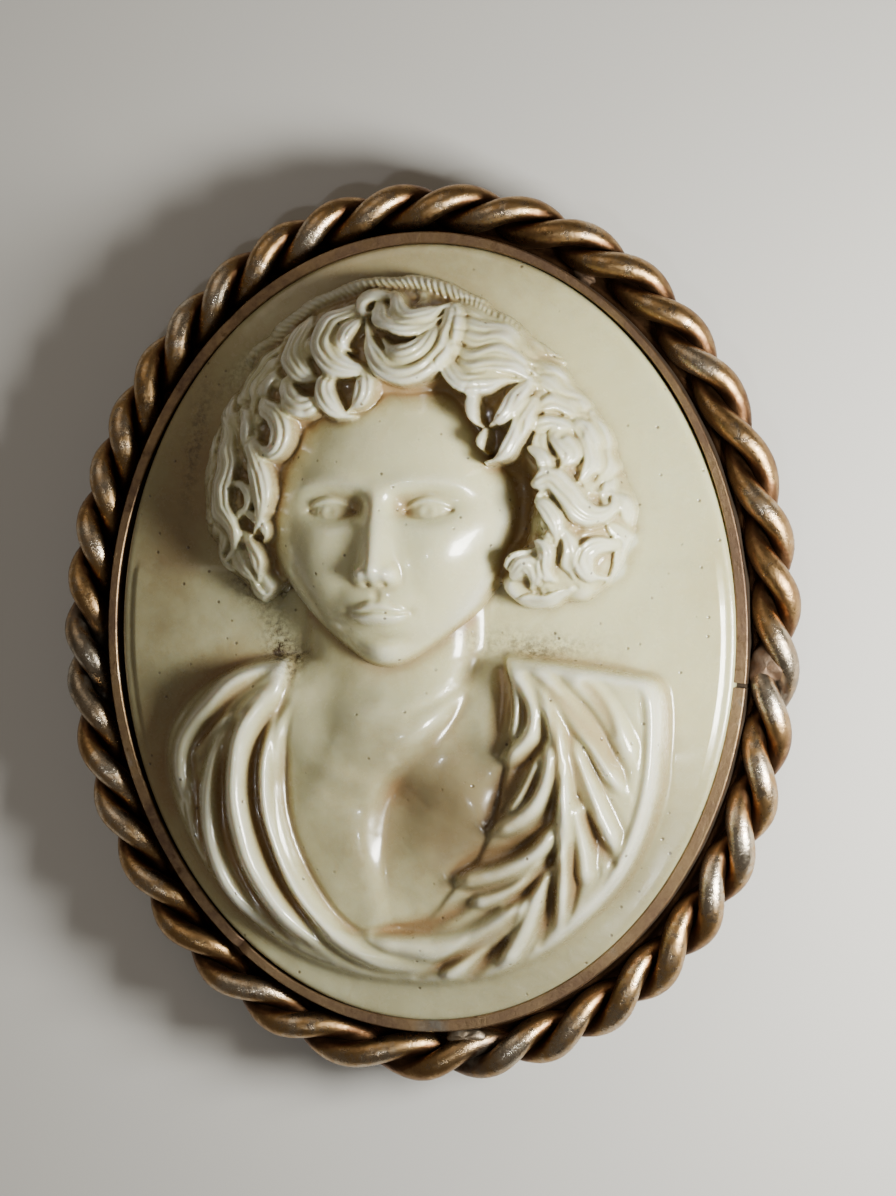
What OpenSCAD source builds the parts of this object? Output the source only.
// Oval cameo brooch: a carved cream stone in a deep bezel with a border of twisted wire.
// It lies on its back. The origin is under the middle of the oval, +Z points out of the
// carved face, +Y to the top of the head and +X to the viewer's right. Millimetres.

/* [Stone] */
// Width of the stone's oval
stone_w = 39.8; // [30:0.1:60]
// Height of the stone's oval
stone_h = 49.2; // [36:0.1:75]
// Height of the stone's upright side, below its bevel
stone_side = 2.0; // [1.5:0.1:4]
// Width of the bevel round the carved face
bevel_w = 0.8; // [0.4:0.1:1.2]
// Height of the bevel round the carved face
bevel_h = 0.7; // [0.3:0.1:1.2]
// Rise of the domed ground from the bevel to the middle
dome_rise = 1.2; // [0:0.1:3]
// Height of the carving above the domed ground
relief_h = 7.2; // [3:0.1:12]

/* [Bezel] */
// Thickness of the bezel's strip
strip_t = 0.6; // [0.4:0.05:1]
// Gap between the stone and the metal round it
seat_gap = 0.1; // [0.05:0.05:0.2]
// Clear depth behind the stone's ledge
back_depth = 3.8; // [3.3:0.1:6]
// Width of the ledge that carries the stone
ledge_w = 1.5; // [1:0.1:3]
// Thickness of the ledge
ledge_t = 0.5; // [0.4:0.1:1]
// Height of the leaning lip above the stone's side
lip_h = 0.6; // [0.3:0.1:1]
// How far the lip leans in over the bevel
lip_lean = 0.25; // [0.1:0.05:0.4]
// Width of the open seam where the strip's ends meet
seam_w = 0.25; // [0.1:0.05:0.5]
// Depth of the open seam from the rim's top
seam_depth = 0.9; // [0.4:0.1:1.5]
// Direction of the seam, anticlockwise from the right
seam_angle = -9; // [-60:1:60]

/* [Twisted border] */
// Diameter of each of the two wires
wire_d = 1.62; // [1:0.02:2.4]
// Length of border that one full turn of the wires takes
twist_pitch = 8.1; // [6:0.1:12]
// Depth of the border's centre line below the rim's top
border_drop = 1.8; // [1.6:0.1:3]
// How deep the border is soldered into the bezel
solder_bite = 0.12; // [0.05:0.01:0.3]

/* [Pin] */
// Diameter of the pin's stem
pin_d = 0.85; // [0.6:0.05:1.2]
// Length of the tapered point
pin_point = 4.0; // [2:0.5:8]
// Height of the pin's axis above the surface that the brooch lies on
pin_z = 1.5; // [1.3:0.1:2]
// Distance of the pin above the oval's middle
pin_y = 5.0; // [0:0.5:10]
// Diameter of the barrel that the stem turns on
barrel_d = 1.9; // [1.5:0.1:2.2]
// Length of the barrel
barrel_l = 1.8; // [1:0.1:3]
// Gap between the pin and the ears or the catch
pin_gap = 0.12; // [0.05:0.01:0.2]
// Thickness of each ear and of the catch's strip
lug_t = 0.5; // [0.4:0.05:0.8]
// Width of the catch along the pin
catch_w = 1.8; // [1:0.1:3]
// Distance of the barrel and the catch in from the ledge's inner edge
lug_inset = 0.3; // [0:0.1:1.5]

/* [Hidden] */

// Half axes of the stone's outline, on which every other oval is based
half_w = stone_w / 2;
half_h = stone_h / 2;

// Heights, from the surface that the brooch lies on
ledge_top = back_depth + ledge_t;
stone_back = ledge_top + seat_gap;
bevel_foot = stone_back + stone_side;
face_edge = bevel_foot + bevel_h;
rim_top = bevel_foot + lip_h;
border_z = rim_top - border_drop;

// Distances out from the stone's outline
bezel_out = seat_gap + strip_t;
border_off = bezel_out + wire_d - solder_bite;

// Steps round an oval band, and of the twisted border per turn and round its section
OVAL_STEPS = 96;
TURN_STEPS = 12;
SECTION_STEPS = 16;
// Fullness of the border between its two wires, as a share of a wire
WAIST = 0.3;

// A point at distance off outside the stone's outline, at the oval angle t and height z
function oval_point(t, off, z) =
    let (nx = half_h * cos(t), ny = half_w * sin(t), n = norm([nx, ny]))
    [half_w * cos(t) + off * nx / n, half_h * sin(t) + off * ny / n, z];

// The faces that join rings of points into a closed loop
function loop_faces(rings, points) = [
    for (i = [0:rings - 1], j = [0:points - 1])
        let (a = i * points, b = (i + 1) % rings * points, k = (j + 1) % points)
        each [[a + j, b + k, b + j], [a + j, a + k, b + k]]
];

// A band round the oval: its section is a list of [distance outside the outline, height]
module oval_band(section) {
    polyhedron(
        points = [
            for (i = [0:OVAL_STEPS - 1], p = section)
                oval_point(360 * i / OVAL_STEPS, p[0], p[1])
        ],
        faces = loop_faces(OVAL_STEPS, len(section)),
        convexity = 6
    );
}

// The bezel's strip with its leaning lip, and the ledge inside it, in one section
module bezel() {
    difference() {
        oval_band([
            [bezel_out, 0],
            [bezel_out, bevel_foot],
            [bezel_out - lip_lean, rim_top],
            [seat_gap - lip_lean, rim_top],
            [seat_gap, bevel_foot],
            [seat_gap, ledge_top],
            [seat_gap - ledge_w, ledge_top],
            [seat_gap - ledge_w, back_depth],
            [seat_gap, back_depth],
            [seat_gap, 0]
        ]);
        translate(oval_point(seam_angle, strip_t / 2, rim_top - seam_depth / 2))
            rotate([0, 0, seam_angle])
                cube([3 * strip_t, seam_w, seam_depth], center = true);
    }
}

// Lengths along the border's centre line up to each ring, for an even twist
function border_point(i, rings) = oval_point(360 * i / rings, border_off, border_z);
function border_lengths(rings) = [
    for (i = 0, s = 0; i <= rings;
         s = s + norm(border_point(i + 1, rings) - border_point(i, rings)), i = i + 1) s
];

// Two wires twisted together: a section of two touching circles turns as it goes round
module border() {
    rough = border_lengths(OVAL_STEPS);
    turns = round(rough[OVAL_STEPS] / twist_pitch);
    rings = turns * TURN_STEPS;
    along = border_lengths(rings);
    points = [
        for (i = [0:rings - 1], j = [0:SECTION_STEPS - 1])
            let (
                around = 360 * j / SECTION_STEPS,
                r = wire_d * max(abs(cos(around)), WAIST),
                a = around + 360 * turns * along[i] / along[rings]
            )
            oval_point(360 * i / rings, border_off + r * cos(a), border_z + r * sin(a))
    ];
    polyhedron(points = points, faces = loop_faces(rings, SECTION_STEPS), convexity = 8);
}

// Where the pin's line meets the ledge's inner edge, and the places of barrel and catch
function ledge_x(y) = (half_w + seat_gap - ledge_w) * sqrt(1 - pow(y / (half_h + seat_gap - ledge_w), 2));
barrel_x = -(ledge_x(pin_y) - lug_inset - barrel_d / 2);
catch_x = ledge_x(pin_y) - lug_inset - catch_w / 2;
catch_r = pin_d / 2 + pin_gap + lug_t / 2;
CATCH_STEPS = 10;
CATCH_SWEEP = 260;

// One ear beside the barrel, from the ledge down past the pin's axis
module ear(side) {
    y = pin_y + side * (barrel_l / 2 + pin_gap) + (side < 0 ? -lug_t : 0);
    hull() {
        translate([barrel_x, y + lug_t, pin_z])
            rotate([90, 0, 0]) cylinder(h = lug_t, d = barrel_d, $fn = 24);
        translate([barrel_x - barrel_d / 2 - lug_inset - ledge_w / 2, y, back_depth])
            cube([ledge_w / 2 + barrel_d, lug_t, ledge_t / 2]);
    }
}

// The catch: a strip curled round the pin's stem and open at one side, under a post. Its
// straight pieces share a short length of strip at each bend
module catch_bend(angle) {
    translate([catch_x, pin_y, pin_z]) rotate([angle, 0, 0]) translate([0, catch_r, 0])
        cube([catch_w, lug_t, lug_t / 4], center = true);
}

module pin_catch() {
    step = CATCH_SWEEP / CATCH_STEPS;
    for (i = [0:CATCH_STEPS - 1])
        hull() {
            catch_bend(90 + i * step);
            catch_bend(90 + (i + 1) * step);
        }
    hull() {
        catch_bend(90);
        translate([catch_x - catch_w / 2, pin_y - lug_t / 2, back_depth])
            cube([catch_w + lug_inset + ledge_w / 2, lug_t, ledge_t / 2]);
    }
}

// Everything that is soldered: bezel, twisted border, ears and catch
module frame() {
    color([0.55, 0.4, 0.24]) union() {
        bezel();
        border();
        ear(-1);
        ear(1);
        pin_catch();
    }
}

// The pin: barrel, straight stem and a point that reaches past the catch
module pin() {
    tip_x = catch_x + catch_w / 2 + lug_inset;
    stem_l = tip_x - pin_point - barrel_x;
    color([0.6, 0.5, 0.36]) translate([barrel_x, pin_y, pin_z]) {
        rotate([90, 0, 0]) cylinder(h = barrel_l, d = barrel_d, center = true, $fn = 48);
        rotate([0, 90, 0]) cylinder(h = stem_l, d = pin_d, $fn = 48);
        translate([stem_l, 0, 0]) rotate([0, 90, 0])
            cylinder(h = pin_point, d1 = pin_d, d2 = pin_d / 4, $fn = 48);
    }
}

// Steps of the carved face across and up
FACE_COLS = 56;
FACE_ROWS = 68;

// The rounded masses of the bust. Columns: middle across and up, half width and half
// height, as shares of the stone's half axes, turn in degrees, and rise of the top as a
// share of the carving's height
MX = 0; MY = 1; MW = 2; MH = 3; MTURN = 4; MRISE = 5;
MASSES = [
    [-0.040,  0.385, 0.71, 0.520,   0, 0.62],  // head of hair
    [-0.035,  0.540, 0.53, 0.370,   0, 0.80],  // crown
    [-0.090,  0.240, 0.43, 0.375,   0, 0.92],  // face
    [-0.090, -0.030, 0.17, 0.110,   0, 0.86],  // chin
    [-0.090,  0.055, 0.13, 0.050,   0, 0.93],  // lips
    [-0.090,  0.175, 0.07, 0.115,   0, 1.00],  // nose
    [-0.090, -0.230, 0.30, 0.360,   0, 0.46],  // neck
    [-0.050, -0.510, 0.64, 0.400,   0, 0.40],  // chest
    [-0.530, -0.420, 0.30, 0.420,  14, 0.40],  // drapery on the left shoulder
    [ 0.450, -0.430, 0.36, 0.470, -14, 0.43],  // drapery on the right shoulder
    [-0.030, -0.730, 0.56, 0.230,   0, 0.38],  // drapery across the front
    [-0.100,  0.745, 0.19, 0.145,   0, 0.92],  // curls over the brow
    [-0.320,  0.680, 0.16, 0.130,   0, 0.90],
    [ 0.180,  0.690, 0.18, 0.150,   0, 0.86],
    [ 0.360,  0.590, 0.16, 0.130,   0, 0.72],
    [ 0.300,  0.470, 0.11, 0.110,   0, 0.80],
    [-0.500,  0.580, 0.17, 0.130,   0, 0.70],  // curls on the left
    [-0.440,  0.480, 0.13, 0.100,   0, 0.80],
    [-0.630,  0.440, 0.14, 0.120,   0, 0.52],
    [-0.630,  0.250, 0.13, 0.130,   0, 0.50],
    [-0.560,  0.090, 0.13, 0.110,   0, 0.44],
    [ 0.500,  0.480, 0.16, 0.130,   0, 0.60],  // curls on the right
    [ 0.580,  0.330, 0.15, 0.140,   0, 0.52],
    [ 0.590,  0.150, 0.17, 0.140,   0, 0.50],
    [ 0.440,  0.060, 0.15, 0.110,   0, 0.44],
    [ 0.400,  0.210, 0.12, 0.110,   0, 0.48]
];

// The hollows of the face, in the same columns, with the depth in place of the rise
HOLLOWS = [
    [-0.240,  0.300, 0.110, 0.060,   8, 0.10],  // eye sockets
    [ 0.060,  0.300, 0.110, 0.060,  -8, 0.10],
    [-0.090,  0.022, 0.080, 0.022,   0, 0.05]   // under the lower lip
];

// The drapery's folds. Columns: start, middle and end of the ridge as shares of the half
// axes, half width as a share of the half width, and height as a share of the carving's
FA = 0; FB = 1; FC = 2; FW = 3; FH = 4;
FOLDS = [
    [[-0.46, -0.07], [-0.62, -0.15], [-0.70, -0.26], 0.080, 0.14],  // left shoulder
    [[-0.42, -0.13], [-0.58, -0.41], [-0.38, -0.77], 0.085, 0.17],
    [[-0.40, -0.16], [-0.45, -0.49], [-0.24, -0.79], 0.075, 0.18],
    [[-0.59, -0.24], [-0.67, -0.47], [-0.53, -0.71], 0.070, 0.13],
    [[ 0.36, -0.09], [ 0.47, -0.34], [ 0.43, -0.71], 0.080, 0.18],  // right shoulder
    [[ 0.32, -0.10], [ 0.40, -0.24], [ 0.27, -0.33], 0.080, 0.15],
    [[ 0.45, -0.26], [ 0.40, -0.42], [ 0.24, -0.50], 0.080, 0.15],
    [[ 0.46, -0.45], [ 0.33, -0.54], [ 0.11, -0.61], 0.080, 0.15],
    [[ 0.44, -0.60], [ 0.19, -0.71], [-0.23, -0.78], 0.085, 0.15],
    [[ 0.46, -0.13], [ 0.60, -0.26], [ 0.69, -0.39], 0.085, 0.14],
    [[ 0.49, -0.29], [ 0.57, -0.46], [ 0.63, -0.57], 0.085, 0.14]
];
FOLD_STEPS = 6;

// Place of p in a mass or hollow: 0 at its middle and 1 at its rim
function spot(p, row) =
    let (x = p[0] - row[MX] * half_w, y = p[1] - row[MY] * half_h, t = row[MTURN])
    norm([
        (x * cos(t) + y * sin(t)) / (row[MW] * half_w),
        (y * cos(t) - x * sin(t)) / (row[MH] * half_h)
    ]);

// Height of one mass over p: near an ellipsoid's upper half, a little softer at its rim
function mass_height(p, row) =
    let (r = spot(p, row)) r >= 1 ? 0 : relief_h * row[MRISE] * pow(1 - r * r, 0.65);

// Depth of one hollow at p: a smooth bowl
function hollow_depth(p, row) =
    let (r = spot(p, row)) r >= 1 ? 0 : relief_h * row[MRISE] * pow(1 - r * r, 2);

// A point of a fold's curve, which passes through its start, middle and end
function fold_point(row, t) =
    let (bend = 2 * row[FB] - (row[FA] + row[FC]) / 2)
    let (q = (1 - t) * (1 - t) * row[FA] + 2 * t * (1 - t) * bend + t * t * row[FC])
    [q[0] * half_w, q[1] * half_h];

// Distance from p to the straight piece between a and b
function piece_distance(p, a, b) =
    let (d = b - a, t = min(1, max(0, (p - a) * d / (d * d)))) norm(p - a - t * d);

// The curves, worked out once, and the height of the ridge along one of them at p
FOLD_CURVES = [for (row = FOLDS) [for (k = [0:FOLD_STEPS]) fold_point(row, k / FOLD_STEPS)]];
function fold_height(p, row, curve) =
    let (
        away = min([for (k = [1:FOLD_STEPS]) piece_distance(p, curve[k - 1], curve[k])]),
        r = away / (row[FW] * half_w)
    )
    r >= 1 ? 0 : relief_h * row[FH] * pow(1 - r * r, 1.5);

// Height of the carved face at p
function face_height(p) =
    let (
        share = pow(p[0] / (half_w - bevel_w), 2) + pow(p[1] / (half_h - bevel_w), 2),
        ground = face_edge + dome_rise * max(0, 1 - share),
        mass = max([for (row = MASSES) mass_height(p, row)]),
        dip = max([for (row = HOLLOWS) hollow_depth(p, row)]),
        folds = p[1] > 0 ? [0]
            : [for (i = [0:len(FOLDS) - 1]) fold_height(p, FOLDS[i], FOLD_CURVES[i])]
    )
    share > 0.999 ? face_edge : ground + mass - dip + min(mass, max(folds));

// The point of the face at the grid place u, v, each from -1 to 1: a square laid on the oval
function face_point(u, v) =
    let (p = [(half_w - bevel_w) * u * sqrt(1 - v * v / 2), (half_h - bevel_w) * v * sqrt(1 - u * u / 2)])
    [p[0], p[1], face_height(p)];

// Grid places round the edge of the face, anticlockwise from its lower left corner
function edge_places() = concat(
    [for (i = [0:FACE_COLS - 1]) [i, 0]],
    [for (j = [0:FACE_ROWS - 1]) [FACE_COLS, j]],
    [for (i = [FACE_COLS:-1:1]) [i, FACE_ROWS]],
    [for (j = [FACE_ROWS:-1:1]) [0, j]]
);

// The carved stone: bust and domed ground on one grid, then bevel, side and flat back
module cameo() {
    cols = FACE_COLS + 1;
    face = [
        for (j = [0:FACE_ROWS], i = [0:FACE_COLS])
            face_point(2 * i / FACE_COLS - 1, 2 * j / FACE_ROWS - 1)
    ];
    edge = edge_places();
    n = len(edge);
    // The same places on the stone's outline, at the bevel's foot and on the back
    outline = [
        for (e = edge)
            let (q = face[e[1] * cols + e[0]])
            [q[0] * half_w / (half_w - bevel_w), q[1] * half_h / (half_h - bevel_w)]
    ];
    foot = len(face);
    back = foot + n;
    middle = back + n;
    faces = concat(
        [
            for (j = [0:FACE_ROWS - 1], i = [0:FACE_COLS - 1])
                let (a = j * cols + i)
                each [[a, a + cols + 1, a + 1], [a, a + cols, a + cols + 1]]
        ],
        [
            for (k = [0:n - 1])
                let (
                    l = (k + 1) % n,
                    a = edge[k][1] * cols + edge[k][0],
                    b = edge[l][1] * cols + edge[l][0]
                )
                each [
                    [a, b, foot + l], [a, foot + l, foot + k],
                    [foot + k, foot + l, back + l], [foot + k, back + l, back + k],
                    [back + k, back + l, middle]
                ]
        ]
    );
    color([0.83, 0.79, 0.68]) polyhedron(
        points = concat(
            face,
            [for (q = outline) [q[0], q[1], bevel_foot]],
            [for (q = outline) [q[0], q[1], stone_back]],
            [[0, 0, stone_back]]
        ),
        faces = faces,
        convexity = 10
    );
}

cameo();
frame();
pin();
